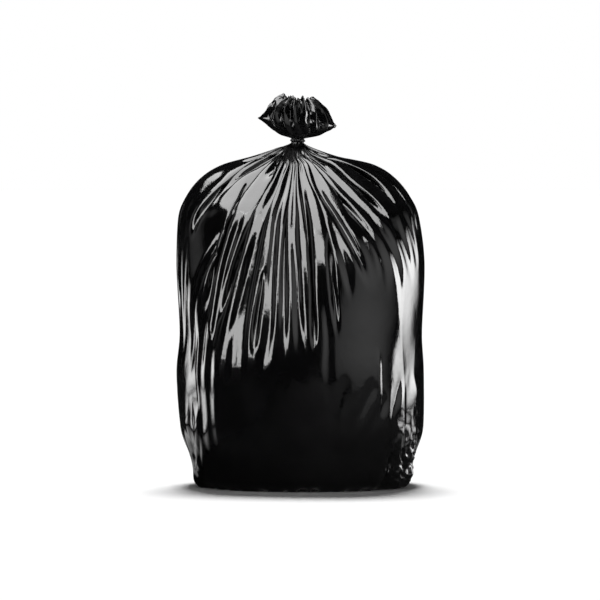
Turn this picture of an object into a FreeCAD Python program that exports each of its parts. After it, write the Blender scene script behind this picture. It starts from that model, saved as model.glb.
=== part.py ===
import FreeCAD, Part
import math
import os
import random

import Sketcher

# A filled refuse sack of black film, gathered at the neck and closed with a narrow tie.
# +Z is up, -Y is the front and +X is the right-hand side. Lengths are in millimetres.
# The origin is on the floor, under the middle of the sack's widest part.

# The film is described at stations, from the floor up to the neck, over the tuft and down into the mouth.
# Each one holds its rise above the station before, its width, its depth, its shift to the right,
# how square its outline is, where 2 is an oval, more is boxier and less is pointed at the two sides,
# and its fan, which below 1 draws the folds towards the middle of the front and back.
STATIONS = (
    ("floor", 0.0, 366.0, 306.0, 5.0, 2.3, 1.0),
    ("heel", 10.0, 390.0, 334.0, 5.0, 2.3, 1.0),
    ("haunch", 50.0, 421.0, 362.0, 4.0, 2.3, 1.0),
    ("hip", 54.0, 455.0, 396.0, 3.0, 2.3, 1.0),
    ("belly", 100.0, 464.0, 416.0, 0.0, 2.2, 1.0),
    ("middle", 78.0, 454.0, 408.0, 1.0, 2.2, 1.0),
    ("chest", 125.0, 464.0, 372.0, 0.0, 2.2, 0.88),
    ("yoke", 92.0, 450.0, 296.0, -4.0, 2.2, 0.66),
    ("shoulder", 37.0, 418.0, 236.0, -5.0, 2.1, 0.54),
    ("slope", 34.0, 362.0, 178.0, -6.0, 2.0, 0.46),
    ("saddle", 24.0, 284.0, 132.0, -6.0, 2.0, 0.42),
    ("collar", 18.0, 148.0, 82.0, -12.0, 2.0, 0.5),
    ("ruff", 16.0, 60.0, 44.0, -10.0, 2.0, 0.75),
    ("throat", 11.0, 21.6, 21.6, -5.0, 2.0, 1.0),
    ("knot", 6.0, 21.6, 21.6, -5.0, 2.0, 1.0),
    ("flare", 8.0, 76.0, 46.0, 0.0, 1.8, 1.0),
    ("wing", 24.0, 142.0, 76.0, -4.0, 1.4, 1.0),
    ("crown", 22.0, 114.0, 76.0, -5.0, 1.6, 1.0),
    ("hem", 23.0, 62.0, 58.0, -4.0, 1.9, 1.0),
    ("lip", 1.0, 57.0, 52.0, -4.0, 1.9, 1.0),
    ("pit", -38.0, 14.0, 12.0, -6.0, 2.0, 1.0),
)
STATION_SIZES = ("Rise", "Width", "Depth", "Shift", "Square", "Fan")

# The pleats that the gathered film falls into, the sealed bottom corners, the tuft's hem and the tie.
OTHER_SIZES = {
    "PleatCount": 34,
    "PleatDepth": 13.0,
    "PleatRun": 190.0,
    "PleatEndRagged": 45.0,
    "TuftPleatDepth": 11.0,
    "TuftLean": 15.0,
    "Crumple": 1.7,
    "TuftCrumple": 3.4,
    "CornerLength": 9.0,
    "CornerHeight": 34.0,
    "HemRagged": 4.5,
    "FacetHeight": 22.0,
    "TieHeight": 4.4,
    "TieThickness": 1.2,
    "TieClearance": 0.02,
    "TieBevel": 0.4,
}

# Where the film sinks in between the things inside: degrees round from +X, height, reach and depth.
# A place with a depth below zero stands out instead.
HOLLOWS = (
    ("right_hollow", -28.0, 214.0, 62.0, 8.0),
    ("right_low_hollow", -22.0, 100.0, 48.0, 6.0),
    ("left_hollow", 207.0, 262.0, 52.0, 7.0),
    ("left_low_hollow", 214.0, 150.0, 44.0, 6.0),
    ("back_hollow", 70.0, 250.0, 80.0, 9.0),
    ("back_left_hollow", 130.0, 150.0, 70.0, 7.0),
    ("front_left_lean", 243.0, 430.0, 110.0, 24.0),
    ("front_right_bulge", 300.0, 450.0, 80.0, -10.0),
)
HOLLOW_SIZES = ("Turn", "Height", "Reach", "Depth")

# The seeds of the irregular pleats and creases.
PLEAT_SEED = 5
CREASE_SEED = 9

# How many stations there are from the floor up to the knot, where the tie sits.
STATIONS_TO_KNOT = 1 + [name for name, *_ in STATIONS].index("knot")

# The share of the local radius that a tuck may take, so that the folds never meet in the middle.
DEEPEST_SHARE = 0.28

# The least and greatest width and depth of a pleat, beside the usual one, and the share that is its face.
PLEAT_WIDTHS = (0.55, 1.45)
PLEAT_DEPTHS = (0.6, 1.25)
FACE_SHARES = (0.55, 0.72)

# Where the pleats run lowest at the front, in degrees round from +X, and how low they run at the back.
LOWEST_TURN = 250.0
BACK_SHARE = 0.6

# How fast the fan's pull on the folds fades towards the two sides.
FAN_POWER = 4

# How far round the sealed corners lie from the two sides, in radians, and how pointed they are.
CORNER_TURN = 0.12
CORNER_POWER = 40

# The largest share of the tie's thickness or height that its bevel may take.
LARGEST_BEVEL = 0.45

# How many levels each side of the tie's middle the film stays smooth, and over how many it then eases.
SMOOTH_LEVELS = 0.5
EASING_LEVELS = 2.0

doc = FreeCAD.newDocument("FilledSack")
sheet = doc.addObject("Spreadsheet::Sheet", "Sizes")


def alias_of(name, label):
    """Join a name in small letters and a label into one alias, such as BellyWidth."""
    return "".join(word.capitalize() for word in name.split("_")) + label


def write_sizes():
    """Fill the sheet with one aliased cell for each driving dimension."""
    sizes = {}
    for table, labels in ((STATIONS, STATION_SIZES), (HOLLOWS, HOLLOW_SIZES)):
        for name, *values in table:
            sizes.update({alias_of(name, label): value for label, value in zip(labels, values)})
    sizes.update(OTHER_SIZES)
    for row, (alias, value) in enumerate(sizes.items(), 1):
        sheet.set("A%d" % row, alias)
        sheet.set("B%d" % row, str(value))
        sheet.setAlias("B%d" % row, alias)
    doc.recompute()


def size(alias):
    """Return one driving dimension from the sheet."""
    return float(sheet.get(alias))


def smooth_step(share):
    """Ease from 0 to 1 as share goes from 0 to 1."""
    share = min(max(share, 0.0), 1.0)
    return share * share * (3 - 2 * share)


def slope(values, index):
    """The slope of a table of values at one of them, with no overshoot past its neighbours."""
    if index == 0 or index == len(values) - 1:
        return 0.0
    before = values[index] - values[index - 1]
    after = values[index + 1] - values[index]
    if before * after <= 0:
        return 0.0
    return 2 * before * after / (before + after)


def between(values, level):
    """Interpolate a table smoothly at a level, which counts its values."""
    first = min(int(level), len(values) - 2)
    share = level - first
    cube, square = share ** 3, share ** 2
    return (
        (2 * cube - 3 * square + 1) * values[first]
        + (cube - 2 * square + share) * slope(values, first)
        + (3 * square - 2 * cube) * values[first + 1]
        + (cube - square) * slope(values, first + 1)
    )


class Outline:
    """The sack without its pleats: its height, width, depth, shift, squareness and fan along the film."""

    def __init__(self):
        self.names = [name for name, *_ in STATIONS]
        self.heights = []
        for name in self.names:
            below = self.heights[-1] if self.heights else 0.0
            self.heights.append(below + size(alias_of(name, "Rise")))
        self.tables = [self.heights]
        for label in STATION_SIZES[1:]:
            self.tables.append([size(alias_of(name, label)) for name in self.names])

    def level_of(self, name):
        """Return the level of a named station."""
        return self.names.index(name)

    def height_of(self, name):
        """Return the height of a named station."""
        return self.heights[self.level_of(name)]

    def at(self, level):
        """Return height, width, depth, shift, squareness and fan at a level."""
        return [between(values, level) for values in self.tables]

    def rows(self):
        """Return the levels of the rows of facets, about one facet's height apart along the film."""
        levels = [0.0]
        for first in range(len(self.names) - 1):
            rise = self.heights[first + 1] - self.heights[first]
            spread = (self.tables[1][first + 1] - self.tables[1][first]) / 2
            count = max(1, int(math.hypot(rise, spread) / size("FacetHeight") + 0.5))
            levels += [first + (step + 1) / count for step in range(count)]
        return levels


class Pleat:
    """One fold of the gathered film: a broad flat face and a narrow tuck beside it."""

    def __init__(self, start, width, dice, outline):
        self.start = start
        self.width = width
        self.face = dice.uniform(*FACE_SHARES)
        self.depth = dice.uniform(*PLEAT_DEPTHS)
        self.end = self.lowest(outline) + size("PleatEndRagged") * dice.uniform(-1.0, 1.0)
        self.ragged = [dice.uniform(-1.0, 1.0) for _ in range(3)]

    def lowest(self, outline):
        """The height where the pleat dies out: low at the front left, high at the front right."""
        angle = 2 * math.pi * (self.start + self.width / 2)
        middle, chest = outline.height_of("middle"), outline.height_of("chest")
        front_left = max(0.0, math.cos(angle - math.radians(LOWEST_TURN)))
        back = max(0.0, math.sin(angle))
        return chest + (middle - chest) * max(front_left, BACK_SHARE * back)

    def folds(self):
        """Yield the pleat's three fold lines: both edges of its face, and its tuck."""
        tuck = (self.face + 1) / 2
        for share, is_tuck, ragged in zip((0.0, self.face, tuck), (False, False, True), self.ragged):
            yield self.start + self.width * share, is_tuck, ragged


def make_pleats(outline):
    """Divide the way round the film into irregular pleats."""
    dice = random.Random(PLEAT_SEED)
    widths = [dice.uniform(*PLEAT_WIDTHS) for _ in range(int(round(size("PleatCount"))))]
    total = sum(widths)
    start, pleats = 0.0, []
    for width in widths:
        pleats.append(Pleat(start / total, width / total, dice, outline))
        start += width
    return pleats


def tuck_depth(pleat, outline, level, height, radius):
    """How far a pleat's tuck lies inside the outline."""
    if level <= outline.level_of("throat"):
        run = (height - pleat.end) / size("PleatRun")
        free = (outline.height_of("throat") - height) / size("ThroatRise")
        depth = size("PleatDepth") * pleat.depth * smooth_step(run)
    else:
        free = (height - outline.height_of("knot")) / size("FlareRise")
        depth = size("TuftPleatDepth") * pleat.depth
    return min(depth, DEEPEST_SHARE * radius) * smooth_step(free)


def hollow_depth(angle, height, radius):
    """How far the film sinks in at a place between the things inside."""
    depth = 0.0
    for name, *_ in HOLLOWS:
        turn = math.remainder(angle - math.radians(size(alias_of(name, "Turn"))), 2 * math.pi)
        away = math.hypot(turn * radius, height - size(alias_of(name, "Height")))
        depth += size(alias_of(name, "Depth")) * math.exp(-(away / size(alias_of(name, "Reach"))) ** 2)
    return depth


def corner_bulge(angle, height):
    """How far the sealed bottom corners stand out at the two sides, just above the floor."""
    point = abs(math.cos(angle + CORNER_TURN)) ** CORNER_POWER
    lift = smooth_step(height / size("HeelRise"))
    fade = math.exp(-(height / size("CornerHeight")) ** 2)
    return size("CornerLength") * point * lift * fade


def crease(outline, level, dice):
    """A small uneven push on a corner of a facet, left out on the floor and round the neck."""
    throat, knot = outline.level_of("throat"), outline.level_of("knot")
    from_tie = abs(level - (throat + knot) / 2) - SMOOTH_LEVELS
    free = smooth_step(level / EASING_LEVELS) * smooth_step(from_tie / EASING_LEVELS)
    deepest = size("Crumple") if level <= throat else size("TuftCrumple")
    return deepest * dice.uniform(-1.0, 1.0) * free


def film_point(outline, level, pleat, fold, dice):
    """The point of the film on one fold line at one level."""
    share, is_tuck, ragged = fold
    height, width, depth, shift, square, fan = outline.at(level)
    angle = 2 * math.pi * share
    across = math.cos(angle) * (fan + (1 - fan) * abs(math.cos(angle)) ** FAN_POWER)
    deep = math.copysign(math.sqrt(max(1 - across ** 2, 0.0)), math.sin(angle))
    angle = math.atan2(deep, across)
    x = width / 2 * math.copysign(abs(across) ** (2 / square), across)
    y = depth / 2 * math.copysign(abs(deep) ** (2 / square), deep)
    radius = math.hypot(x, y)
    moved = corner_bulge(angle, height) + crease(outline, level, dice)
    if level < outline.level_of("throat"):
        moved -= hollow_depth(angle, height, radius)
    if is_tuck:
        moved -= tuck_depth(pleat, outline, level, height, radius)
    scale = 1 + moved / radius
    lean = smooth_step(level - outline.level_of("flare"))
    height -= lean * size("TuftLean") * x / size("WingWidth")
    if outline.level_of("crown") < level < outline.level_of("pit"):
        height += ragged * size("HemRagged")
    return FreeCAD.Vector(shift + x * scale, y * scale, height)


class FacetMaker:
    """Builds flat faces on a grid of points, and uses each edge between two of them once."""

    def __init__(self, grid):
        self.grid = grid
        self.edges = {}
        self.faces = []

    def point(self, place):
        """Return the point at a (row, column) of the grid."""
        return self.grid[place[0]][place[1]]

    def edge(self, one, other):
        """Return the straight edge between two places of the grid."""
        key = min(one, other), max(one, other)
        if key not in self.edges:
            self.edges[key] = Part.makeLine(self.point(key[0]), self.point(key[1]))
        return self.edges[key]

    def face(self, places):
        """Add the flat face whose corners are these places."""
        sides = [self.edge(one, other) for one, other in zip(places, places[1:] + places[:1])]
        self.faces.append(Part.Face(Part.Wire(sides)))

    def band(self, row, columns):
        """Add the facets between a row and the next, each pair creased along its shorter diagonal."""
        for column in range(columns):
            after = (column + 1) % columns
            low, low_next = (row, column), (row, after)
            high, high_next = (row + 1, column), (row + 1, after)
            rising = self.point(low).distanceToPoint(self.point(high_next))
            falling = self.point(low_next).distanceToPoint(self.point(high))
            if rising < falling:
                self.face([low, low_next, high_next])
                self.face([low, high_next, high])
            else:
                self.face([low, low_next, high])
                self.face([low_next, high_next, high])

    def pucker(self, row, columns):
        """Close a row with facets that meet in the single point of the next row."""
        for column in range(columns):
            self.face([(row, column), (row, (column + 1) % columns), (row + 1, 0)])


def film_shape(outline):
    """Make the solid of the sack with what fills it, from the flat facets of its creased film."""
    folds = [(pleat, fold) for pleat in make_pleats(outline) for fold in pleat.folds()]
    dice = random.Random(CREASE_SEED)
    grid = []
    for level in outline.rows():
        grid.append([film_point(outline, level, pleat, fold, dice) for pleat, fold in folds])
    last = len(grid) - 1
    middle = FreeCAD.Vector()
    for point in grid[last]:
        middle += point / len(folds)
    grid.append([middle])
    maker = FacetMaker(grid)
    maker.face([(0, column) for column in range(len(folds))])
    for row in range(last):
        maker.band(row, len(folds))
    maker.pucker(last, len(folds))
    solid = Part.makeSolid(Part.Shell(maker.faces))
    if solid.Volume < 0:
        solid.reverse()
    return solid


def make_sack(outline):
    """Make the filled sack, with its film in one piece from the floor to the tuft."""
    sack = doc.addObject("Part::Feature", "Sack")
    sack.Label = "filled_sack"
    sack.Shape = film_shape(outline)
    return sack


def make_tie():
    """Make the narrow tie that grips the gathered neck: a ring sketched flat and padded both ways."""
    body = doc.addObject("PartDesign::Body", "Tie")
    body.Label = "neck_tie"
    ring = body.newObject("Sketcher::SketchObject", "Ring")
    floor_plane = [plane for plane in body.Origin.OriginFeatures if plane.Role == "XY_Plane"][0]
    ring.AttachmentSupport = (floor_plane, "")
    ring.MapMode = "FlatFace"
    centre, up = FreeCAD.Vector(0, 0, 0), FreeCAD.Vector(0, 0, 1)
    inner = ring.addGeometry(Part.Circle(centre, up, size("ThroatWidth") / 2), False)
    outer = ring.addGeometry(Part.Circle(centre, up, size("ThroatWidth")), False)
    inside = "Sizes.ThroatWidth / 2 + Sizes.TieClearance"
    for circle, radius in ((inner, inside), (outer, inside + " + Sizes.TieThickness")):
        ring.addConstraint(Sketcher.Constraint("Coincident", circle, 3, -1, 1))
        index = ring.addConstraint(Sketcher.Constraint("Radius", circle, size("ThroatWidth")))
        ring.setExpression("Constraints[%d]" % index, radius)
    band = body.newObject("PartDesign::Pad", "Band")
    band.Profile = ring
    band.Midplane = True
    band.setExpression("Length", "Sizes.TieHeight")
    doc.recompute()
    bevelled = body.newObject("PartDesign::Chamfer", "BevelledEdges")
    rims = [isinstance(edge.Curve, Part.Circle) for edge in band.Shape.Edges]
    bevelled.Base = (band, ["Edge%d" % number for number, is_rim in enumerate(rims, 1) if is_rim])
    largest = "%g * min(Sizes.TieThickness; Sizes.TieHeight)" % LARGEST_BEVEL
    bevelled.setExpression("Size", "min(Sizes.TieBevel; %s)" % largest)
    body.Tip = bevelled
    rises = [alias_of(name, "Rise") for name, *_ in STATIONS[:STATIONS_TO_KNOT]]
    rises[-1] += " / 2"
    body.setExpression("Placement.Base.z", " + ".join("Sizes." + rise for rise in rises))
    body.setExpression("Placement.Base.x", "Sizes.ThroatShift")
    return body


write_sizes()
pieces = [make_sack(Outline()), make_tie()]
doc.recompute()

for thing in doc.Objects:
    if "Invalid" in thing.State or "Error" in thing.State:
        raise RuntimeError(thing.Label + " did not build")
os.makedirs("parts", exist_ok=True)
for piece in pieces:
    shape = piece.Shape
    if shape.isNull() or not shape.isValid():
        raise RuntimeError(piece.Label + " is not a valid solid")
    shape.exportStep("parts/%s.step" % piece.Label)
    litres = round(shape.Volume / 1e6, 3)
    print(piece.Label, len(shape.Solids), "solid,", len(shape.Faces), "faces,", litres, "litres")
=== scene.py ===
"""A filled refuse sack of glossy black film, gathered at the neck and tied, on a white studio floor.

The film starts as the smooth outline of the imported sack. It is then relaxed as a thin sheet that is
longer than that outline, so that its spare length falls into folds between the neck and the belly.
Everything is in metres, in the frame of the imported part: +Z up, -Y the front, +X the right.
"""

from __future__ import annotations

import logging
import math
from dataclasses import dataclass

import bpy
import numpy as np
from mathutils import Matrix, Quaternion, Vector


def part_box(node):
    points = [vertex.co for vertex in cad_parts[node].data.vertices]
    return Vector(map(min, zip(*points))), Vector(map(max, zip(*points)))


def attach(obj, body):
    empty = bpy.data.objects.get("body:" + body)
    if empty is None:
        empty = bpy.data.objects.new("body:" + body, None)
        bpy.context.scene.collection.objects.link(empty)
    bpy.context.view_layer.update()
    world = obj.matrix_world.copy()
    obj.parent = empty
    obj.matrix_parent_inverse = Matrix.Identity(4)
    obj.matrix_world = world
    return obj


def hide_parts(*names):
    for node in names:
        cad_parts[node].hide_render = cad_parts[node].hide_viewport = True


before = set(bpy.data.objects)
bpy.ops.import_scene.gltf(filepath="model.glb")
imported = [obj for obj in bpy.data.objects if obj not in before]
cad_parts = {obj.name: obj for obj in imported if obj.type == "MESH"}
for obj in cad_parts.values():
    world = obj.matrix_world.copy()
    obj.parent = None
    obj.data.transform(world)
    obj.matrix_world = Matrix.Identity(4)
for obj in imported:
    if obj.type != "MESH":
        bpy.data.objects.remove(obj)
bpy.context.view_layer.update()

LOG = logging.getLogger("sack")
MILLIMETRE = 0.001
Grid = np.ndarray
Place = tuple[float, float, float]
Colour = tuple[float, float, float, float]


@dataclass(frozen=True)
class Station:
    """One level of the film's outline on the sack as it was first drawn, in millimetres.

    A square of 2 is an oval and more is boxier. Slack is the film's length round over the outline's.
    A fan below 1 draws the lines up the film towards the middle of the front and back.
    """

    name: str
    height: float
    width: float
    depth: float
    shift: float
    square: float
    slack: float
    fan: float


STATIONS = (
    Station("floor", 0.0, 366.0, 306.0, 5.0, 2.3, 1.0, 1.0),
    Station("heel", 10.0, 390.0, 334.0, 5.0, 2.3, 1.015, 1.0),
    Station("haunch", 60.0, 421.0, 362.0, 4.0, 2.3, 1.01, 1.0),
    Station("hip", 114.0, 455.0, 396.0, 3.0, 2.3, 1.005, 1.0),
    Station("belly", 214.0, 464.0, 416.0, 0.0, 2.2, 1.005, 1.0),
    Station("middle", 292.0, 454.0, 408.0, 1.0, 2.2, 1.04, 1.0),
    Station("chest", 417.0, 464.0, 372.0, 0.0, 2.2, 1.15, 0.88),
    Station("yoke", 509.0, 450.0, 296.0, -4.0, 2.2, 1.3, 0.66),
    Station("shoulder", 546.0, 418.0, 236.0, -5.0, 2.1, 1.42, 0.54),
    Station("slope", 580.0, 362.0, 178.0, -6.0, 2.0, 1.55, 0.46),
    Station("saddle", 604.0, 284.0, 132.0, -6.0, 2.0, 1.65, 0.42),
    Station("collar", 622.0, 148.0, 82.0, -12.0, 2.0, 1.6, 0.5),
    Station("ruff", 638.0, 60.0, 44.0, -10.0, 2.0, 1.6, 0.75),
    Station("throat", 649.0, 21.6, 21.6, -5.0, 2.0, 1.05, 1.0),
    Station("knot", 655.0, 21.6, 21.6, -5.0, 2.0, 1.05, 1.0),
    Station("flare", 663.0, 76.0, 46.0, 0.0, 1.8, 1.25, 1.0),
    Station("wing", 687.0, 130.0, 76.0, -5.5, 1.4, 1.15, 1.0),
    Station("crown", 709.0, 114.0, 76.0, -5.0, 1.6, 1.15, 1.0),
    Station("hem", 732.0, 62.0, 58.0, -4.0, 1.9, 1.2, 1.0),
    Station("lip", 733.0, 57.0, 52.0, -4.0, 1.9, 1.2, 1.0),
    Station("pit", 695.0, 14.0, 12.0, -6.0, 2.0, 1.0, 1.0),
)
DRAWN_HEIGHT = 740.394


@dataclass(frozen=True)
class Swell:
    """A place where the film sinks in, or with a negative depth where what is inside pushes it out.

    Turn is in degrees, and height, the reach each way and depth are in millimetres.
    """

    turn: float
    height: float
    reach: float
    depth: float


SWELLS = (
    Swell(-28.0, 214.0, 62.0, 8.0),
    Swell(-22.0, 100.0, 48.0, 6.0),
    Swell(207.0, 262.0, 52.0, 7.0),
    Swell(214.0, 150.0, 44.0, 6.0),
    Swell(70.0, 250.0, 80.0, 9.0),
    Swell(130.0, 150.0, 70.0, 7.0),
    Swell(243.0, 430.0, 110.0, 24.0),
    Swell(300.0, 450.0, 80.0, -10.0),
    Swell(338.0, 186.0, 22.0, -4.5),
    Swell(191.0, 4.0, 26.0, -14.0),
    Swell(346.0, 6.0, 28.0, -15.0),
)


@dataclass(frozen=True)
class Crumple:
    """A place where the film is crushed into small flat facets.

    Turn is in degrees, and height and the reach each way are in millimetres. Depth is a share of the
    facets' usual depth.
    """

    turn: float
    height: float
    reach: float
    depth: float


CRUMPLES = (
    Crumple(335.0, 44.0, 62.0, 2.2),
    Crumple(318.0, 14.0, 30.0, 1.3),
    Crumple(201.0, 60.0, 40.0, 0.7),
    Crumple(203.0, 16.0, 30.0, 0.9),
    Crumple(22.0, 26.0, 42.0, 1.0),
    Crumple(158.0, 24.0, 40.0, 1.0),
)


@dataclass(frozen=True)
class Taut:
    """A place where what is inside stretches the film smooth, with its half width and half height.

    The turn is in degrees and the rest in millimetres.
    """

    turn: float
    height: float
    half_width: float
    half_height: float


TAUT = (
    Taut(303.0, 250.0, 96.0, 165.0),
    Taut(334.0, 300.0, 46.0, 120.0),
    Taut(258.0, 100.0, 130.0, 150.0),
    Taut(203.0, 198.0, 72.0, 52.0),
    Taut(207.0, 462.0, 34.0, 60.0),
    Taut(348.0, 225.0, 50.0, 125.0),
    Taut(300.0, 60.0, 110.0, 90.0),
    Taut(88.0, 190.0, 120.0, 130.0),
    Taut(20.0, 230.0, 70.0, 110.0),
    Taut(150.0, 150.0, 80.0, 90.0),
)


@dataclass(frozen=True)
class Crease:
    """A sharp line that the film was folded along, from one turn and height to another.

    Turns are in degrees, and heights, the width and the rise, which is negative in a groove, in
    millimetres.
    """

    turn: float
    height: float
    end_turn: float
    end_height: float
    width: float
    rise: float

    def at(self, angle: Grid, radius: Grid, height: Grid) -> Grid:
        """How far the film stands out at each point, in metres.

        Args:
            angle: the columns' angles, as one row.
            radius: each point's distance from the axis.
            height: each point's height.

        Returns:
            The offset at each point.
        """
        across = turned(angle, self.turn) * radius / MILLIMETRE
        up = height / MILLIMETRE - self.height
        run = math.radians(self.end_turn - self.turn) * radius / MILLIMETRE
        rise = self.end_height - self.height
        share = np.clip((across * run + up * rise) / (run ** 2 + rise ** 2), 0.0, 1.0)
        away = np.hypot(across - share * run, up - share * rise)
        fading = np.sqrt(np.clip(4 * share * (1 - share), 0.0, 1.0))
        return self.rise * MILLIMETRE * np.exp(-(away / self.width) ** 2) * fading


CREASES = (
    Crease(307.0, 262.0, 306.5, 130.0, 4.0, 2.4),
    Crease(312.0, 124.0, 334.0, 222.0, 5.0, 3.2),
    Crease(312.0, 124.0, 323.0, 205.0, 5.0, -3.0),
    Crease(312.0, 124.0, 331.0, 84.0, 5.0, 3.0),
    Crease(312.0, 124.0, 342.0, 150.0, 6.0, -3.2),
    Crease(216.0, 162.0, 215.0, 300.0, 5.0, 3.0),
    Crease(216.0, 162.0, 199.5, 6.0, 5.0, 3.0),
    Crease(206.5, 165.0, 199.5, 6.0, 5.0, -3.4),
    Crease(221.0, 150.0, 201.0, 6.0, 6.0, -3.0),
    Crease(220.5, 332.0, 237.0, 152.0, 4.0, 3.0),
    Crease(279.0, 105.0, 289.0, 212.0, 9.0, -3.2),
    Crease(288.5, 100.0, 303.5, 202.0, 9.0, -3.6),
    Crease(296.0, 92.0, 311.0, 176.0, 9.0, -3.0),
    Crease(60.0, 120.0, 74.0, 300.0, 6.0, 2.2),
    Crease(92.0, 250.0, 84.0, 60.0, 6.0, -2.4),
    Crease(124.0, 90.0, 137.0, 260.0, 6.0, 2.4),
    Crease(20.0, 90.0, 8.0, 240.0, 6.0, 2.0),
    Crease(176.0, 110.0, 168.0, 280.0, 6.0, -3.2),
)


def level_of(name: str) -> int:
    """The level of a named station."""
    return [station.name for station in STATIONS].index(name)


def smooth_step(share: Grid) -> Grid:
    """Ease from 0 to 1 as share goes from 0 to 1."""
    share = np.clip(share, 0.0, 1.0)
    return share * share * (3 - 2 * share)


def turned(angle: Grid, degrees: float) -> Grid:
    """The signed angle from a turn in degrees, in radians."""
    return (angle - math.radians(degrees) + math.pi) % (2 * math.pi) - math.pi


def round_and_up(points: Grid) -> tuple[Grid, Grid]:
    """Each point's distance from the axis and its height."""
    return np.linalg.norm(points[..., :2], axis=-1), points[..., 2]


def sharp_wave(phase: Grid) -> Grid:
    """A wave of straight slopes and sharp turns between -1 and 1, with a period of 2."""
    return 2 * np.abs(phase % 2 - 1) - 1


class Track:
    """A smooth curve through one value at each station, with no overshoot."""

    def __init__(self, values: list[float]) -> None:
        """Keep the values and work out the slope at each.

        Args:
            values: one value for each station, from the floor to the pit.
        """
        self.values = np.array(values)
        before, after = np.diff(self.values)[:-1], np.diff(self.values)[1:]
        total = np.where(np.abs(before + after) < 1e-12, 1.0, before + after)
        inner = np.where(before * after > 0, 2 * before * after / total, 0.0)
        self.slopes = np.concatenate([[0.0], inner, [0.0]])

    def at(self, level: Grid) -> Grid:
        """The curve's values.

        Args:
            level: how many stations up each point is.

        Returns:
            The value at each point.
        """
        first = np.minimum(level.astype(int), len(self.values) - 2)
        t = level - first
        cube, square = t ** 3, t ** 2
        return (
            (2 * cube - 3 * square + 1) * self.values[first]
            + (cube - 2 * square + t) * self.slopes[first]
            + (3 * square - 2 * cube) * self.values[first + 1]
            + (cube - square) * self.slopes[first + 1]
        )


class Outline:
    """The film without its folds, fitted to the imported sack. Lengths here are in millimetres."""

    FAN_POWER = 4
    TUFT_LEAN = 15.0
    HEM_RAGGED = 5.0
    HEM_TEETH = 46
    HEM_SEED = 12
    TIP_REACH = 13.0
    TIP_POWER = 14
    TIP_LEVELS = 0.3
    ROW_SPACING = (
        ("haunch", 0.5), ("hip", 1.0), ("chest", 1.0), ("slope", 0.6),
        ("throat", 1.0), ("lip", 1.0), ("pit", 1.3),
    )
    FINE_LEVELS = 8001
    FINE_TURNS = 20001

    def __init__(self) -> None:
        """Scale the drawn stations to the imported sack's height."""
        low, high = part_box("filled_sack")
        self.scale = (high.z - low.z) / DRAWN_HEIGHT
        self.tracks = {
            name: Track([getattr(station, name) * self.scale for station in STATIONS])
            for name in ("height", "width", "depth", "shift")
        }
        for name in ("square", "slack", "fan"):
            self.tracks[name] = Track([getattr(station, name) for station in STATIONS])

    def rows(self, body_step: float, tuft_step: float) -> Grid:
        """Levels spaced along the film.

        Args:
            body_step: metres from row to row on the body.
            tuft_step: metres from row to row on the tuft.

        Returns:
            The level of each row, from the floor to the pit.
        """
        fine = np.linspace(0, len(STATIONS) - 1, self.FINE_LEVELS)
        rise = np.diff(self.tracks["height"].at(fine))
        spread = np.diff((self.tracks["width"].at(fine) + self.tracks["depth"].at(fine)) / 4)
        middle = (fine[1:] + fine[:-1]) / 2
        knees = [level_of(name) for name, _ in self.ROW_SPACING]
        steps = [
            share * (body_step if knee < level_of("throat") else tuft_step)
            for knee, (_, share) in zip(knees, self.ROW_SPACING)
        ]
        count = np.concatenate([[0], np.cumsum(np.hypot(rise, spread) / np.interp(middle, knees, steps))])
        return np.interp(np.linspace(0, count[-1], int(round(count[-1])) + 1), count, fine)

    def columns(self, count: int) -> Grid:
        """Angles that space the columns evenly round the belly.

        Args:
            count: how many columns.

        Returns:
            The angle of each column in radians.
        """
        fine = np.linspace(0, 2 * math.pi, self.FINE_TURNS)
        points = self.points(np.array([float(level_of("belly"))]), fine, swells=())[0]
        length = np.concatenate([[0], np.cumsum(np.linalg.norm(np.diff(points, axis=0), axis=1))])
        return np.interp(np.arange(count) / count * length[-1], length, fine)

    def points(self, levels: Grid, angles: Grid, swells: tuple[Swell, ...] = SWELLS) -> Grid:
        """Points of the unfolded film.

        Args:
            levels: the rows' levels.
            angles: the columns' angles in radians.
            swells: the places that stand out or sink in.

        Returns:
            An array of rows by columns by 3.
        """
        level = levels[:, None]
        names = ("height", "width", "depth", "shift", "square", "fan")
        height, width, depth, shift, square, fan = (self.tracks[name].at(level) for name in names)
        across = np.cos(angles[None])
        across = across * (fan + (1 - fan) * np.abs(across) ** self.FAN_POWER)
        deep = np.sign(np.sin(angles[None])) * np.sqrt(np.maximum(1 - across ** 2, 0.0))
        angle = np.arctan2(deep, across)
        x = width / 2 * np.sign(across) * np.abs(across) ** (2 / square)
        y = depth / 2 * np.sign(deep) * np.abs(deep) ** (2 / square)
        radius = np.hypot(x, y)
        sunk = np.zeros_like(radius)
        for swell in swells:
            round_it = turned(angle, swell.turn) * radius / (swell.reach * MILLIMETRE)
            up_it = (height / MILLIMETRE - swell.height) / swell.reach
            sunk += swell.depth * MILLIMETRE * np.exp(-round_it ** 2 - up_it ** 2)
        scale = 1 - sunk * (level < level_of("throat")) / radius
        lean = smooth_step(level - level_of("flare"))
        tilt = lean * self.TUFT_LEAN / STATIONS[level_of("wing")].width
        crown, lip, pit = (level_of(name) for name in ("crown", "lip", "pit"))
        at_hem = smooth_step((level - crown) / (lip - crown)) * smooth_step((pit - level) / (pit - lip))
        teeth = np.random.default_rng(self.HEM_SEED).uniform(-1, 1, self.HEM_TEETH)
        turns = np.arange(self.HEM_TEETH + 1) * 2 * math.pi / self.HEM_TEETH
        tooth = np.interp(angle % (2 * math.pi), turns, np.append(teeth, teeth[0]))
        ragged = self.HEM_RAGGED * MILLIMETRE * tooth * at_hem
        tip = self.TIP_REACH * MILLIMETRE * np.sign(across) * np.abs(across) ** self.TIP_POWER
        tip = tip * np.exp(-np.abs(level - level_of("wing")) / self.TIP_LEVELS) * lean
        return np.stack([shift + x * scale + tip, y * scale, height - tilt * x + ragged], -1)


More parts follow.
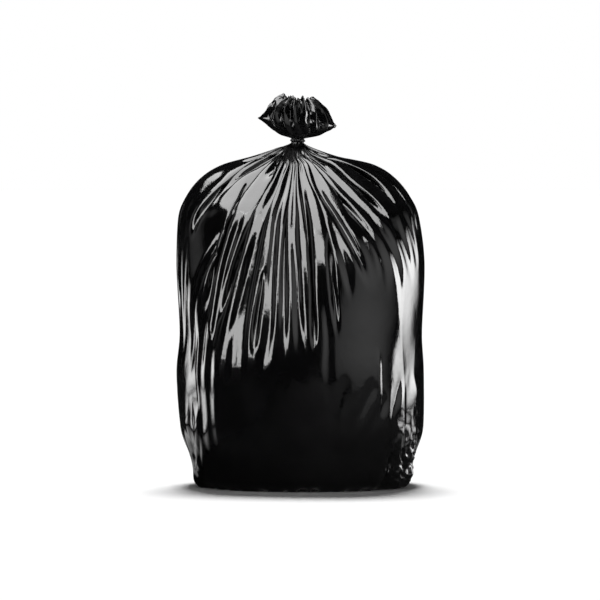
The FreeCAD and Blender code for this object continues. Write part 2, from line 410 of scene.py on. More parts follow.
class Ripple:
    """A smooth seeded field over the film, made of waves round it and along it."""

    WAVES = 14

    def __init__(self, dice: np.random.Generator, lowest: int, highest: int, along: float) -> None:
        """Draw the waves.

        Args:
            dice: the seeded generator.
            lowest: fewest waves round the sack.
            highest: most waves round the sack.
            along: typical turn along the film, in radians a metre.
        """
        self.round = dice.integers(lowest, highest + 1, self.WAVES)
        self.along = dice.normal(0, along, self.WAVES)
        self.phase = dice.uniform(0, 2 * math.pi, self.WAVES)

    def at(self, angle: Grid, height: Grid) -> Grid:
        """The field's values, about -2 to 2."""
        waves = zip(self.round, self.along, self.phase)
        total = sum(np.cos(m * angle + p * height + phase) for m, p, phase in waves)
        return total / math.sqrt(self.WAVES / 2)


def normals_of(points: Grid) -> Grid:
    """Outward unit normals of a grid that closes on itself round the sack.

    Args:
        points: rows by columns by 3.

    Returns:
        The normal at each point.
    """
    round_it = np.roll(points, -1, 1) - np.roll(points, 1, 1)
    along = np.empty_like(points)
    along[1:-1] = points[2:] - points[:-2]
    along[0], along[-1] = points[1] - points[0], points[-1] - points[-2]
    normal = np.cross(round_it, along)
    return normal / np.maximum(np.linalg.norm(normal, axis=-1, keepdims=True), 1e-12)


@dataclass(frozen=True)
class Pass:
    """One pass of the relaxing: how coarse the grid is, and how the film behaves.

    Ruffle is the size of the random pushes, and keep the share of the last pass's folds that is kept.
    """

    coarseness: int
    steps: int
    ruffle: float
    keep: float
    pressure: float
    hold: float
    bend_round: float
    bend_along: float


@dataclass
class FilmShape:
    """Relaxes a grid of points as a thin film with spare length. Lengths here are in metres.

    Each of the longer folds is a turn and a width in degrees, and how many stations further down the
    folds reach there.
    """

    LONGER_FOLDS = (
        (245.0, 24.0, 1.3), (274.0, 16.0, 1.1), (326.0, 34.0, -1.6), (205.0, 20.0, 0.5), (90.0, 60.0, 0.5)
    )
    PROUD_SIDES = 0.35
    PROUD_SHARE = 0.1
    TUCK_SHARE = 0.3
    LOOSEST = 1.02
    UNEVEN_HOLD = 1.0
    NECK_HOLD = 3
    NECK_RADII = (0.12, 0.1)
    UNEVEN_SLACK = 0.85
    MOST_SLACK = 2.6
    FOLD_LEVELS = (4, 9.5)
    FOLD_EASING = 2
    FLOOR_LEVELS = 0.6
    PIT_LEVELS = 0.5
    KNOT_MARGIN = 0.02
    TUFT_STIFFER = 9
    MOST_STIFF = 0.22
    PULL = 1.6
    PUSH_KEPT = 0.5
    SPOT_RUFFLE = 0.2
    FIELD_SEED_STEP = 40
    FIELD_ALONG = 8.0
    WIDE_WAVES = (6, 22)
    NARROW_WAVES = (12, 40)
    FACET_WAVES = (0.070, 0.056, 0.044, 0.034, 0.027, 0.021, 0.016, 0.012, 0.009)
    FACET_STEEPNESS = 0.05
    TUFT_SEED = 97
    CORNER_SEED = 92
    FACET_LEAN = (1.0, 1.0, 0.35)
    FACET_BEND = 0.004
    FACET_BENDS = 90.0
    CRUSHED_FROM = 0.008
    TUFT_PLEATS = 15
    TUFT_PLEAT = 0.0055
    TUFT_DRAWN_IN = 0.003
    TUFT_FACETS = 0.6
    TUFT_RADIUS = 0.04
    TUFT_FROM = 0.3
    SWINGS = (2, 3, 5)
    SWING_SIZE = (0.2, 0.5)

    outline: Outline
    columns: int = 448
    body_step: float = 0.0078
    tuft_step: float = 0.0019
    seed: int = 19
    spare_film: float = 1.25
    tuck: float = 0.016
    proud: float = 0.006
    momentum: float = 0.9
    passes: tuple[Pass, ...] = (
        Pass(4, 500, 0.0030, 0.0, 0.4e-5, 0.0030, 0.0080, 0.040),
        Pass(2, 300, 0.0007, 0.0, 0.4e-5, 0.0030, 0.0120, 0.060),
        Pass(1, 110, 0.0002, 0.9, 0.4e-5, 0.0030, 0.0200, 0.080),
    )

    def slack(self, levels: Grid, angle: Grid, height: Grid) -> Grid:
        """How much longer the film is than its outline round the sack.

        Args:
            levels: the rows' levels.
            angle: the columns' angles, as one row.
            height: the height of each point.

        Returns:
            The ratio at each point.
        """
        level = levels[:, None] + 0 * angle
        reach = sum(
            stations * np.exp(-(turned(angle, turn) / math.radians(width)) ** 2)
            for turn, width, stations in self.LONGER_FOLDS
        )
        throat = level_of("throat")
        body = level < throat
        low, high = self.FOLD_LEVELS
        blend = smooth_step((level - low) / self.FOLD_EASING) * smooth_step((high - level) / self.FOLD_EASING)
        looked = np.where(body, np.clip(level + reach * blend, 0, throat), level)
        uneven = np.clip(1 + self.UNEVEN_SLACK * self.wide.at(angle, height), 0.0, self.MOST_SLACK)
        spare = np.where(body, self.spare_film * uneven, 1)
        return 1 + (self.outline.tracks["slack"].at(looked) - 1) * spare

    @staticmethod
    def taut(angle: Grid, height: Grid, radius: Grid) -> Grid:
        """Where the film is stretched smooth.

        Args:
            angle: the columns' angles.
            height: each point's height.
            radius: its distance from the axis.

        Returns:
            One where it is stretched, and nothing where it is free.
        """
        share = np.zeros_like(radius)
        for place in TAUT:
            across = turned(angle, place.turn) * radius / (place.half_width * MILLIMETRE)
            up = (height / MILLIMETRE - place.height) / place.half_height
            share = np.maximum(share, np.exp(-(across ** 2 + up ** 2) ** 2))
        return share

    @staticmethod
    def crushed(angle: Grid, height: Grid, radius: Grid) -> Grid:
        """How deeply the film is crushed.

        Args:
            angle: the columns' angles.
            height: each point's height.
            radius: its distance from the axis.

        Returns:
            The share of the facets' usual depth.
        """
        depth = np.zeros_like(radius)
        for crumple in CRUMPLES:
            away = np.hypot(turned(angle, crumple.turn) * radius, height - crumple.height * MILLIMETRE)
            depth = np.maximum(depth, crumple.depth * np.exp(-(away / (crumple.reach * MILLIMETRE)) ** 4))
        return depth

    def build(self) -> Grid:
        """Relax the film from a coarse grid to the finest.

        Returns:
            The film's points, rows by columns by 3.
        """
        outline = self.outline
        dice = np.random.default_rng(self.seed)
        fields = np.random.default_rng(self.seed + self.FIELD_SEED_STEP)
        self.wide = Ripple(fields, *self.WIDE_WAVES, self.FIELD_ALONG)
        self.narrow = Ripple(fields, *self.NARROW_WAVES, self.FIELD_ALONG)
        all_levels = outline.rows(self.body_step, self.tuft_step)
        points, before = None, None
        for step in self.passes:
            rows = np.unique(np.append(np.arange(0, len(all_levels), step.coarseness), len(all_levels) - 1))
            levels = all_levels[rows]
            angles = outline.columns(self.columns // step.coarseness)
            target = self.creased(outline.points(levels, angles), angles)
            settled = target
            if points is not None:
                settled = target + self.refined(points - before[1], before[0], levels)
            if step.keep:
                offset = normals_of(settled) * self.crumpled(target, levels, angles)[..., None]
                settled, target = settled + offset, target + offset
            kept = target + step.keep * (settled - target)
            points = self.relax(self.ruffled(settled, levels, step, dice), kept, target, levels, angles, step)
            before = levels, target
            LOG.info("film relaxed on a grid of %d by %d", *points.shape[:2])
        return points

    @staticmethod
    def creased(target: Grid, angles: Grid) -> Grid:
        """The outline with its sharp creases.

        Args:
            target: the outline without folds.
            angles: the columns' angles.

        Returns:
            The creased points.
        """
        radius, height = round_and_up(target)
        rise = sum(crease.at(angles[None], radius, height) for crease in CREASES)
        return target + normals_of(target) * rise[..., None]

    def crumpled(self, target: Grid, levels: Grid, angles: Grid) -> Grid:
        """How far the tuft and the crushed corners stand in or out, in flat facets and sharp pleats.

        Args:
            target: the outline without folds.
            levels: the rows' levels.
            angles: the columns' angles.

        Returns:
            The offset at each point.
        """
        radius, height = round_and_up(target)
        tuft = self.tuft_share(levels)
        dice = np.random.default_rng(self.TUFT_SEED)
        facets = self.facets(target, dice)
        turns = angles[None] / (2 * math.pi)
        swing = sum(
            dice.uniform(*self.SWING_SIZE) * np.sin(2 * math.pi * times * turns + dice.uniform(0, 6))
            for times in self.SWINGS
        )
        pleats = self.TUFT_PLEAT * sharp_wave(2 * self.TUFT_PLEATS * turns + swing)
        crushed = self.crushed(angles[None], height, radius) * smooth_step(height / self.CRUSHED_FROM)
        knot, crown = level_of("knot"), level_of("crown")
        opened = smooth_step((levels - knot) / (crown - knot))[:, None]
        folds = (self.TUFT_FACETS * facets + pleats - self.TUFT_DRAWN_IN) * opened
        folds = folds * np.minimum(radius / self.TUFT_RADIUS, 1.0)
        return tuft * folds + crushed * self.facets(target, np.random.default_rng(self.CORNER_SEED))

    def facets(self, target: Grid, dice: np.random.Generator) -> Grid:
        """Small flat facets that meet in sharp edges, from waves of several lengths.

        Args:
            target: the outline without folds.
            dice: the seeded generator.

        Returns:
            How far each point stands in or out.
        """
        height = np.zeros(target.shape[:2])
        waves = np.sin(target[..., [1, 2, 0]] * self.FACET_BENDS + dice.uniform(0, 6, 3))
        bent = target + self.FACET_BEND * waves
        for wave in self.FACET_WAVES:
            toward = dice.normal(size=3) * self.FACET_LEAN
            toward /= np.linalg.norm(toward)
            facet = sharp_wave(bent @ toward * 2 / wave + dice.uniform(0, 2))
            height += self.FACET_STEEPNESS * wave * facet
        return height

    def tuft_share(self, levels: Grid) -> Grid:
        """One on the tuft and nothing elsewhere, as a column."""
        rise = smooth_step(levels - level_of("knot") - self.TUFT_FROM)
        return (rise * smooth_step(level_of("pit") - levels))[:, None]

    def ruffled(self, film: Grid, levels: Grid, step: Pass, dice: np.random.Generator) -> Grid:
        """The film with small random pushes, from which the folds grow.

        Args:
            film: where the film starts.
            levels: the rows' levels.
            step: how the film behaves in this pass.
            dice: the seeded generator.

        Returns:
            The pushed points.
        """
        columns = dice.standard_normal((1, film.shape[1])) * step.ruffle
        spots = dice.standard_normal(film.shape[:2]) * step.ruffle * self.SPOT_RUFFLE
        return film + normals_of(film) * ((columns + spots) * (1 - self.tuft_share(levels)))[..., None]

    @staticmethod
    def refined(offset: Grid, old_levels: Grid, levels: Grid) -> Grid:
        """Carry offsets from the outline over to a finer grid.

        Args:
            offset: the offset at each point of the coarser grid.
            old_levels: its rows' levels.
            levels: the finer grid's levels.

        Returns:
            The offsets for twice the columns and more rows.
        """
        wider = np.empty((offset.shape[0], offset.shape[1] * 2, 3))
        wider[:, 0::2] = offset
        wider[:, 1::2] = (offset + np.roll(offset, -1, 1)) / 2
        place = np.interp(levels, old_levels, np.arange(len(old_levels)))
        first = np.minimum(place.astype(int), len(old_levels) - 2)
        share = (place - first)[:, None, None]
        return wider[first] * (1 - share) + wider[first + 1] * share

    def relax(
        self, points: Grid, settled: Grid, target: Grid, levels: Grid, angles: Grid, step: Pass
    ) -> Grid:
        """Let the film settle at one coarseness.

        Args:
            points: where the film starts.
            settled: the shape that it is held to.
            target: the outline without folds.
            levels: the rows' levels.
            angles: the columns' angles.
            step: how the film behaves in this pass.

        Returns:
            The settled points.
        """
        normal = normals_of(target)
        angle = angles[None]
        radius, height = round_and_up(target)
        crushed = np.minimum(self.crushed(angle, height, radius), 1.0) if step.keep else 0.0
        tuft = self.tuft_share(levels)
        round_it = np.linalg.norm(np.roll(target, -1, 1) - target, axis=-1)
        round_it *= self.slack(levels, angle, height)
        along = np.linalg.norm(target[1:] - target[:-1], axis=-1)
        slant = np.hypot((round_it[1:] + round_it[:-1]) / 2, along)
        ties = [(1, 0, round_it), (0, 1, along), (1, 1, slant), (-1, 1, slant)]
        ties = [(right, up, rest[..., None].astype(np.float32)) for right, up, rest in ties]
        loose = (self.LOOSEST - self.taut(angle, height, radius))[..., None]
        deepest = -np.minimum(self.tuck, self.TUCK_SHARE * radius)[..., None] * loose
        proud = self.proud * (self.PROUD_SIDES + (1 - self.PROUD_SIDES) * np.abs(np.sin(angle)))
        furthest = np.minimum(proud, self.PROUD_SHARE * radius)[..., None] * loose
        throat, knot, lip = (level_of(name) for name in ("throat", "knot", "lip"))
        tied = (levels > throat - self.KNOT_MARGIN) & (levels < knot + self.KNOT_MARGIN)
        pinned = (levels < self.FLOOR_LEVELS) | tied | (levels > lip + self.PIT_LEVELS)
        free = (np.where(pinned, 0, 1)[:, None] * (1 - tuft) * (1 - crushed))[..., None].astype(np.float32)
        hold = step.hold * np.exp(self.UNEVEN_HOLD * self.narrow.at(angle, height))
        largest, reach = self.NECK_RADII
        hold = hold * (1 + self.NECK_HOLD * smooth_step((largest - radius) / reach))
        points, settled, target, normal, hold = (
            np.asarray(values, np.float32) for values in (points, settled, target, normal, hold[..., None])
        )
        stiffest = self.MOST_STIFF / max(step.bend_round, step.bend_along)
        stiff = np.minimum(1 + self.TUFT_STIFFER * tuft, stiffest)[..., None].astype(np.float32)
        speed = np.zeros_like(points)
        for _ in range(step.steps):
            speed = speed * self.momentum + step.pressure * normals_of(points) + hold * (settled - points)
            points = points + speed * free
            push = self.pull_together(points, ties)
            bend = step.bend_round * self.bent_round(points) + step.bend_along * self.bent_along(points)
            push -= stiff * bend
            push *= free
            points = points + push
            speed = speed + self.PUSH_KEPT * push
            off = ((points - target) * normal).sum(-1, keepdims=True)
            points = points + (np.clip(off, deepest, furthest) - off).astype(np.float32) * normal * free
        return points

    @classmethod
    def pull_together(cls, points: Grid, ties: list[tuple[int, int, Grid]]) -> Grid:
        """The pushes that bring each pair of neighbours to its rest length.

        Args:
            points: the film's points.
            ties: for each kind of neighbour, its columns on, its rows up and the rest lengths.

        Returns:
            The mean push on each point.
        """
        push = np.zeros_like(points)
        count = np.zeros(points.shape[:2] + (1,), np.float32)
        for right, up, rest in ties:
            other = np.roll(points, -right, axis=1)
            gap = (other[up:] - points[:-up]) if up else other - points
            length = np.sqrt((gap ** 2).sum(-1, keepdims=True)) + 1e-9
            half = 0.5 * gap * (1 - rest / length)
            near, far = (slice(None, -up), slice(up, None)) if up else (slice(None), slice(None))
            push[near] += half
            push[far] -= np.roll(half, right, axis=1)
            count[near] += 1
            count[far] += 1
        return cls.PULL * push / count

    @staticmethod
    def bent_round(points: Grid) -> Grid:
        """How sharply the film's bend changes round the sack."""
        bend = (np.roll(points, 1, 1) + np.roll(points, -1, 1)) / 2 - points
        return (np.roll(bend, 1, 1) + np.roll(bend, -1, 1)) / 2 - bend

    @staticmethod
    def bent_along(points: Grid) -> Grid:
        """How sharply the film's bend changes along the sack.

        Args:
            points: the film's points.

        Returns:
            The change at each point.
        """
        bend, change = np.zeros_like(points), np.zeros_like(points)
        bend[1:-1] = (points[2:] + points[:-2]) / 2 - points[1:-1]
        change[1:-1] = (bend[2:] + bend[:-2]) / 2 - bend[1:-1]
        return change


def added(name: str, data: bpy.types.ID) -> bpy.types.Object:
    """Add an object to the scene."""
    made = bpy.data.objects.new(name, data)
    bpy.context.scene.collection.objects.link(made)
    return made


class Link:
    """A shader socket that Python's arithmetic builds nodes from."""

    def __init__(self, shader: Shader, socket: bpy.types.NodeSocket) -> None:
        """Keep the socket and the tree that it is in."""
        self.shader = shader
        self.socket = socket

    def _math(self, operation: str, one: Link | float, other: Link | float) -> Link:
        """Add a Math node."""
        return self.shader.node("ShaderNodeMath", {"operation": operation}, {0: one, 1: other})

    def __add__(self, other: Link | float) -> Link:
        """Sum."""
        return self._math("ADD", self, other)

    __radd__ = __add__

    def __mul__(self, other: Link | float) -> Link:
        """Product."""
        return self._math("MULTIPLY", self, other)

    def __sub__(self, other: Link | float) -> Link:
        """Difference."""
        return self._math("SUBTRACT", self, other)


class Shader:
    """A material's node tree, with short ways to add to it."""

    def __init__(self, name: str) -> None:
        """Make an empty material of that name."""
        self.material = bpy.data.materials.new(name)
        self.material.use_nodes = True
        self.tree = self.material.node_tree
        self.tree.nodes.clear()

    def node(
        self, kind: str, settings: dict | None = None, inputs: dict | None = None, output: int | str = 0
    ) -> Link:
        """Add a node.

        Args:
            kind: the node's type.
            settings: the node's own settings, set first; stops are the positions and levels of a grey ramp.
            inputs: values or links by socket name or index.
            output: which output to return.

        Returns:
            The link from that output.
        """
        made = self.tree.nodes.new(kind)
        for name, value in (settings or {}).items():
            if name == "stops":
                for element, (position, level) in zip(made.color_ramp.elements, value):
                    element.position, element.color = position, (level, level, level, 1.0)
            else:
                setattr(made, name, value)
        for name, value in (inputs or {}).items():
            if isinstance(value, Link):
                self.tree.links.new(value.socket, made.inputs[name])
            else:
                made.inputs[name].default_value = value
        return Link(self, made.outputs[output])

    def noise(self, where: Link, scale: float, detail: float) -> Link:
        """Add a noise texture."""
        return self.node("ShaderNodeTexNoise", inputs={"Vector": where, "Scale": scale, "Detail": detail})

    def finish(self, surface: Link) -> bpy.types.Material:
        """Send a shader to the output.

        Args:
            surface: the shader.

        Returns:
            The material.
        """
        end = self.tree.nodes.new("ShaderNodeOutputMaterial")
        self.tree.links.new(surface.socket, end.inputs["Surface"])
        return self.material


@dataclass(frozen=True)
class FilmFinish:
    """Thin black polythene: nearly black, sharply glossy, with fine stretch lines and crackle."""

    colour: Colour = (0.0035, 0.0035, 0.0038, 1.0)
    dust: Colour = (0.009, 0.009, 0.0095, 1.0)
    dusty_from: float = 0.45
    dusty_to: float = 0.75
    gloss: float = 0.07
    dull: float = 0.05
    index: float = 1.5
    stretch_lines: float = 0.00008
    stretch: float = 0.12
    crackle: float = 0.00022
    line_scale: float = 420.0
    crackle_scale: float = 70.0
    cloud_scale: float = 14.0

    def material(self, name: str) -> bpy.types.Material:
        """Build the material on Object coordinates.

        Args:
            name: the material's name.

        Returns:
            The material.
        """
        shader = Shader(name)
        place = shader.node("ShaderNodeTexCoord", output="Object")
        scale = (1.0, 1.0, self.stretch)
        long_way = shader.node("ShaderNodeMapping", inputs={"Vector": place, "Scale": scale})
        lines = shader.noise(long_way, self.line_scale, 3.0)
        folds = shader.noise(place, self.crackle_scale, 4.0)
        cloud = shader.noise(place, self.cloud_scale, 5.0)
        stops = [(self.dusty_from, 0.0), (self.dusty_to, 1.0)]
        worn = shader.node("ShaderNodeValToRGB", {"stops": stops}, {"Fac": cloud})
        mixed = shader.node(
            "ShaderNodeMix", {"data_type": "RGBA"}, {0: worn, 6: self.colour, 7: self.dust}, output=2
        )
        height = lines * self.stretch_lines + folds * self.crackle
        bump = shader.node("ShaderNodeBump", inputs={"Strength": 1.0, "Distance": 1.0, "Height": height})
        surface = shader.node(
            "ShaderNodeBsdfPrincipled",
            inputs={
                "Base Color": mixed,
                "Roughness": self.gloss + worn * self.dull,
                "IOR": self.index,
                "Normal": bump,
            },
        )
        return shader.finish(surface)


@dataclass(frozen=True)
class TieFinish:
    """A plain black plastic strip, duller than the film."""

    colour: Colour = (0.012, 0.012, 0.013, 1.0)
    roughness: float = 0.5
    uneven: float = 0.2
    grain: float = 0.00005
    grain_scale: float = 900.0
    scuff_scale: float = 160.0

    def material(self, name: str) -> bpy.types.Material:
        """Build the material on Object coordinates.

        Args:
            name: the material's name.

        Returns:
            The material.
        """
        shader = Shader(name)
        place = shader.node("ShaderNodeTexCoord", output="Object")
        grain = shader.noise(place, self.grain_scale, 2.0)
        scuffs = shader.noise(place, self.scuff_scale, 4.0)
        bump = shader.node("ShaderNodeBump", inputs={"Distance": 1.0, "Height": grain * self.grain})
        surface = shader.node(
            "ShaderNodeBsdfPrincipled",
            inputs={
                "Base Color": self.colour, "Normal": bump,
                "Roughness": self.roughness + (scuffs - 0.5) * self.uneven,
            },
        )
        return shader.finish(surface)


@dataclass
class Sack:
    """The film from the floor over the shoulders and the tuft into the mouth, as one closed mesh."""

    finish: FilmFinish = FilmFinish()

    def build(self) -> None:
        """Build the film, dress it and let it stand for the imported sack."""
        points = FilmShape(Outline()).build()
        rows, columns = points.shape[:2]
        points[..., 2] = np.maximum(points[..., 2], 0.0)
        bottom, top = points[0].mean(0), points[-1].mean(0)
        corners = np.concatenate([points.reshape(-1, 3), [bottom], [top]])
        here = np.arange(rows * columns).reshape(rows, columns)
        after = np.roll(here, -1, axis=1)
        quads = np.stack([here[:-1], after[:-1], after[1:], here[1:]], -1).reshape(-1, 4)
        low, high = rows * columns, rows * columns + 1
        caps = [(low, after[0, i], here[0, i]) for i in range(columns)]
        caps += [(high, here[-1, i], after[-1, i]) for i in range(columns)]
        mesh = bpy.data.meshes.new("sack_film")
        mesh.from_pydata(corners.tolist(), [], quads.tolist() + [tuple(map(int, cap)) for cap in caps])
        mesh.validate()
        mesh.shade_smooth()
        mesh.materials.append(self.finish.material("black_film"))
        sack = added("sack_film", mesh)
        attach(sack, "root")
        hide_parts("filled_sack")
        LOG.info("sack film: %d faces", len(mesh.polygons))


@dataclass
class NeckTie:
    """The flat plastic strip wound round the neck, with its end lapped over, swept by Geometry Nodes."""

    laps: float = 1.35
    lap_rise: float = 0.0011
    band: float = 0.0036
    thickness: float = 0.0009
    lap_gap: float = 1.05
    ends: int = 90
    finish: TieFinish = TieFinish()

    def tree(self) -> bpy.types.GeometryNodeTree:
        """Build the tree: a flat spiral swept with the strip's section.

        Returns:
            The tree, whose inputs are the strip's sizes.
        """
        tree = bpy.data.node_groups.new("neck_tie_sweep", "GeometryNodeTree")
        for name in ("Turns", "Inner Radius", "Outer Radius", "Rise", "Band", "Thickness"):
            tree.interface.new_socket(name, in_out="INPUT", socket_type="NodeSocketFloat")
        tree.interface.new_socket("Finish", in_out="INPUT", socket_type="NodeSocketMaterial")
        tree.interface.new_socket("Geometry", in_out="OUTPUT", socket_type="NodeSocketGeometry")
        sizes, end = tree.nodes.new("NodeGroupInput"), tree.nodes.new("NodeGroupOutput")
        spiral = tree.nodes.new("GeometryNodeCurveSpiral")
        spiral.inputs["Resolution"].default_value = self.ends
        section = tree.nodes.new("GeometryNodeCurvePrimitiveQuadrilateral")
        sweep = tree.nodes.new("GeometryNodeCurveToMesh")
        sweep.inputs["Fill Caps"].default_value = True
        real = tree.nodes.new("GeometryNodeRealizeInstances")
        coat = tree.nodes.new("GeometryNodeSetMaterial")
        for source, output, target, socket in (
            (sizes, "Turns", spiral, "Rotations"), (sizes, "Inner Radius", spiral, "Start Radius"),
            (sizes, "Outer Radius", spiral, "End Radius"), (sizes, "Rise", spiral, "Height"),
            (sizes, "Thickness", section, "Width"), (sizes, "Band", section, "Height"),
            (spiral, 0, sweep, "Curve"), (section, 0, sweep, "Profile Curve"), (sweep, 0, real, 0),
            (real, 0, coat, "Geometry"), (sizes, "Finish", coat, "Material"), (coat, 0, end, "Geometry"),
        ):
            tree.links.new(source.outputs[output], target.inputs[socket])
        return tree

    def build(self) -> None:
        """Sweep the strip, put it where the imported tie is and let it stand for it."""
        low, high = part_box("neck_tie")
        middle = (low + high) / 2
        outer = (high.x - low.x) / 2 - self.thickness / 2
        inner = outer - self.thickness * self.lap_gap
        maker = added("neck_tie_maker", bpy.data.meshes.new("neck_tie_maker"))
        sweep = maker.modifiers.new("sweep", "NODES")
        sweep.node_group = self.tree()
        values = {
            "Turns": self.laps, "Inner Radius": inner, "Outer Radius": outer, "Rise": self.lap_rise,
            "Band": self.band, "Thickness": self.thickness, "Finish": self.finish.material("tie_strip"),
        }
        for item in sweep.node_group.interface.items_tree:
            if item.in_out == "INPUT":
                sweep[item.identifier] = values[item.name]
        bpy.context.view_layer.update()
        mesh = bpy.data.meshes.new_from_object(maker.evaluated_get(bpy.context.evaluated_depsgraph_get()))
        bpy.data.objects.remove(maker)
        mesh.transform(Matrix.Translation(middle - Vector((0.0, 0.0, self.lap_rise / 2))))
        tie = added("neck_strip", mesh)
        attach(tie, "root")
        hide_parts("neck_tie")
        LOG.info("neck tie: %d faces", len(mesh.polygons))


@dataclass(frozen=True)
class Panel:
    """A rectangle in the studio: its middle, what it faces and its size."""

    name: str
    place: Place
    aim: Place
    size: tuple[float, float]

    def facing(self, axis: str) -> Quaternion:
        """The turn that points an axis at what the panel faces."""
        return (Vector(self.aim) - Vector(self.place)).to_track_quat(axis, "Y")


@dataclass(frozen=True)
class SoftBox(Panel):
    """A rectangular studio lamp."""

    radiance: float

    def build(self) -> None:
        """Add the lamp, which only reflections see."""
        data = bpy.data.lights.new(self.name, "AREA")
        data.shape = "RECTANGLE"
        data.size, data.size_y = self.size
        data.energy = self.radiance * math.pi * self.size[0] * self.size[1]
        lamp = added(self.name, data)
        lamp.location = self.place
        lamp.rotation_euler = self.facing("-Z").to_euler()
        lamp.visible_camera = False
        lamp.visible_diffuse = False


@dataclass(frozen=True)
class Card(Panel):
    """A flat card that only reflections see."""

    CELLS = 1
    peak = (0.0, 0.0)

    def reflected(self, material: bpy.types.Material) -> None:
        """Make the card, with a glow attribute that fades towards its edges.

        Args:
            material: its finish.
        """
        turn, cells, (wide, high) = self.facing("Z"), self.CELLS, self.size
        steps = [step / cells * 2 - 1 for step in range(cells + 1)]
        spots = [(across, up) for up in steps for across in steps]
        placed = [turn @ Vector((x * wide / 2, y * high / 2, 0.0)) + Vector(self.place) for x, y in spots]
        corners = [(row * (cells + 1) + column) for row in range(cells) for column in range(cells)]
        faces = [(here, here + 1, here + cells + 2, here + cells + 1) for here in corners]
        mesh = bpy.data.meshes.new(self.name)
        mesh.from_pydata([tuple(point) for point in placed], [], faces)
        glow = mesh.color_attributes.new("glow", "FLOAT_COLOR", "POINT")
        for item, spot in zip(glow.data, spots):
            fades = [max(0.0, 1 - ((at - top) / (1 + abs(top))) ** 2) for at, top in zip(spot, self.peak)]
            item.color = (fades[0] * fades[1],) * 3 + (1.0,)
        mesh.materials.append(material)
        made = added(self.name, mesh)
        for ray in ("camera", "diffuse", "transmission", "shadow"):
            setattr(made, "visible_" + ray, False)


@dataclass(frozen=True)
class BlackCard(Card):
    """A black card that keeps the white room out of the film's reflections."""

    colour: Colour = (0.01, 0.01, 0.01, 1.0)

    def build(self) -> None:
        """Add the card."""
        shader = Shader(self.name)
        surface = shader.node("ShaderNodeBsdfDiffuse", inputs={"Color": self.colour})
        self.reflected(shader.finish(surface))


@dataclass(frozen=True)
class GlowCard(Card):
    """A panel that fades out towards its edges, for the film's soft reflections.

    Its peak is its brightest spot, across and up from its middle by shares of its half size.
    """

    CELLS = 24

    radiance: float
    peak: tuple[float, float] = (0.0, 0.0)

    def build(self) -> None:
        """Add the panel."""
        shader = Shader(self.name)
        glow = shader.node("ShaderNodeAttribute", {"attribute_name": "glow"}, output="Color")
        surface = shader.node("ShaderNodeEmission", inputs={"Color": glow, "Strength": self.radiance})
        self.reflected(shader.finish(surface))


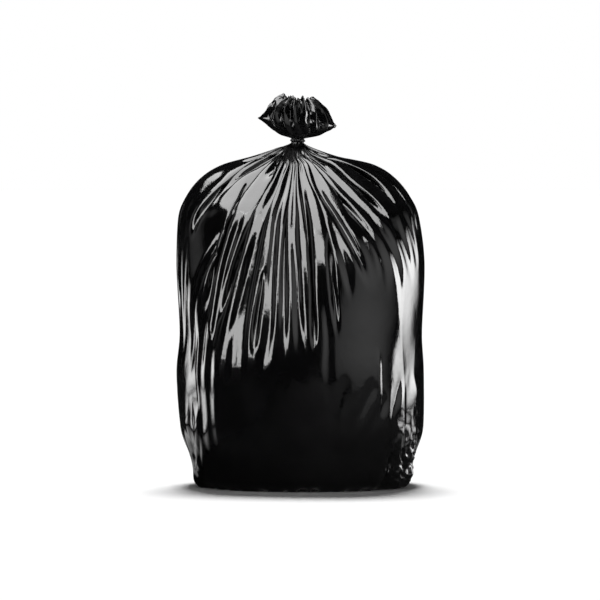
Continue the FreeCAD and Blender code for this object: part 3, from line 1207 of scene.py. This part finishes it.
@dataclass
class Studio:
    """The white room: floor, world, lamps, glowing panels, black cards and camera."""

    PICTURE_PIXELS = 600
    PIXEL_MILLIMETRES = 1.887
    FLOOR_REACH = 60
    SIGHT_REACH = 200.0

    camera_distance: float = 8.0
    eye_height: float = 0.63
    view_middle: float = 0.351
    sideways: float = -0.0009
    boxes: tuple[SoftBox, ...] = (
        SoftBox("top_box", (-0.75, -0.65, 2.55), (-0.75, -0.65, 0.0), (2.0, 2.7), 9.5),
        SoftBox("front_top_box", (-0.3, -2.75, 2.35), (0.0, -0.4, 0.5), (3.4, 1.3), 9.5),
        SoftBox("front_left_box", (-1.95, -2.5, 1.15), (0.0, 0.0, 0.40), (1.0, 1.15), 9.5),
    )
    glows: tuple[GlowCard, ...] = (
        GlowCard("left_strip", (-1.55, 0.55, 0.22), (-0.2, 0.0, 0.28), (0.80, 0.52), 8.0),
        GlowCard("right_strip", (1.62, 0.52, 0.46), (0.2, 0.0, 0.40), (1.05, 1.00), 15.0, (1.0, 0.0)),
        GlowCard("right_glow", (1.65, -1.25, 0.85), (0.0, 0.0, 0.35), (2.9, 2.2), 1.1),
        GlowCard("left_glow", (-2.1, -0.15, 1.35), (0.0, 0.0, 0.45), (1.4, 1.6), 0.7),
        GlowCard("floor_glow", (0.9, -1.0, 0.001), (0.9, -1.0, 1.0), (2.4, 2.2), 0.2),
        GlowCard("left_floor_glow", (-0.47, 0.14, 0.002), (-0.47, 0.14, 1.0), (0.32, 0.56), 1.5),
        GlowCard("left_far_floor_glow", (-1.15, 0.28, 0.002), (-1.15, 0.28, 1.0), (0.9, 0.8), 6.0),
        GlowCard("right_far_floor_glow", (1.05, 0.34, 0.002), (1.05, 0.34, 1.0), (0.8, 0.6), 5.0),
        GlowCard("right_floor_glow", (0.44, 0.10, 0.002), (0.44, 0.10, 1.0), (0.30, 0.50), 0.8),
    )
    cards: tuple[BlackCard, ...] = (
        *(
            BlackCard(name, (x, y, 1.5), (0.0, 0.0, 1.5), (12.0, 8.0))
            for name, x, y in (
                ("front_card", 0.0, -4.5), ("right_card", 4.5, 0.0),
                ("left_card", -4.5, 0.0), ("back_card", 0.0, 4.5),
            )
        ),
        BlackCard("ceiling_card", (0.0, 0.0, 5.0), (0.0, 0.0, 0.0), (12.0, 12.0)),
        BlackCard("floor_card", (0.0, 0.0, 0.0004), (0.0, 0.0, 1.0), (9.0, 9.0)),
    )

    floor_colour: Colour = (0.96, 0.96, 0.96, 1.0)
    world_level: float = 0.10
    sun_level: float = 0.98
    sun_elevation: float = 71.0
    sun_width: float = 18.0

    def build(self) -> None:
        """Set up the room."""
        self.build_world()
        self.build_floor()
        self.build_sun()
        for item in self.boxes + self.glows + self.cards:
            item.build()
        self.build_camera()
        bpy.context.scene.view_settings.view_transform = "Standard"
        counts = len(self.boxes), len(self.glows), len(self.cards)
        LOG.info("studio: %d soft boxes, %d glowing panels, %d black cards and a back light", *counts)

    def build_world(self) -> None:
        """A plain white world, which the camera sees at full white."""
        world = bpy.data.worlds.new("white_room")
        world.use_nodes = True
        tree = world.node_tree
        background = tree.nodes["Background"]
        background.inputs["Color"].default_value = (1.0, 1.0, 1.0, 1.0)
        path = tree.nodes.new("ShaderNodeLightPath")
        level = tree.nodes.new("ShaderNodeMapRange")
        level.inputs["To Min"].default_value = self.world_level
        level.inputs["To Max"].default_value = 1.0
        tree.links.new(path.outputs["Is Camera Ray"], level.inputs["Value"])
        tree.links.new(level.outputs["Result"], background.inputs["Strength"])
        bpy.context.scene.world = world

    def build_sun(self) -> None:
        """A soft light from behind and above, which lays the sack's shadow on the floor in front."""
        data = bpy.data.lights.new("back_light", "SUN")
        data.angle = math.radians(self.sun_width)
        data.energy = self.sun_level * math.pi / math.sin(math.radians(self.sun_elevation))
        light = added("back_light", data)
        light.rotation_euler = (math.radians(self.sun_elevation - 90.0), 0.0, 0.0)
        light.visible_glossy = False

    def build_floor(self) -> None:
        """A wide plain white floor."""
        mesh = bpy.data.meshes.new("floor")
        far = self.FLOOR_REACH
        mesh.from_pydata([(-far, -far, 0), (far, -far, 0), (far, far, 0), (-far, far, 0)], [], [(0, 1, 2, 3)])
        shader = Shader("white_floor")
        surface = shader.node("ShaderNodeBsdfDiffuse", inputs={"Color": self.floor_colour})
        mesh.materials.append(shader.finish(surface))
        added("floor", mesh)

    def build_camera(self) -> None:
        """A camera with a long lens in front of the sack, looking slightly down at its middle."""
        data = bpy.data.cameras.new("camera")
        view_width = self.PICTURE_PIXELS * self.PIXEL_MILLIMETRES * MILLIMETRE
        data.lens = data.sensor_width * self.camera_distance / view_width
        data.clip_end = self.SIGHT_REACH
        camera = added("camera", data)
        camera.location = (self.sideways, -self.camera_distance, self.eye_height)
        down = math.atan2(self.eye_height - self.view_middle, self.camera_distance)
        camera.rotation_euler = (math.radians(90) - down, 0.0, 0.0)
        bpy.context.scene.camera = camera


def main() -> None:
    """Build the studio and the sack."""
    logging.basicConfig(level=logging.INFO, format="%(name)s: %(message)s")
    Studio().build()
    Sack().build()
    NeckTie().build()


if __name__ == "__main__":
    main()
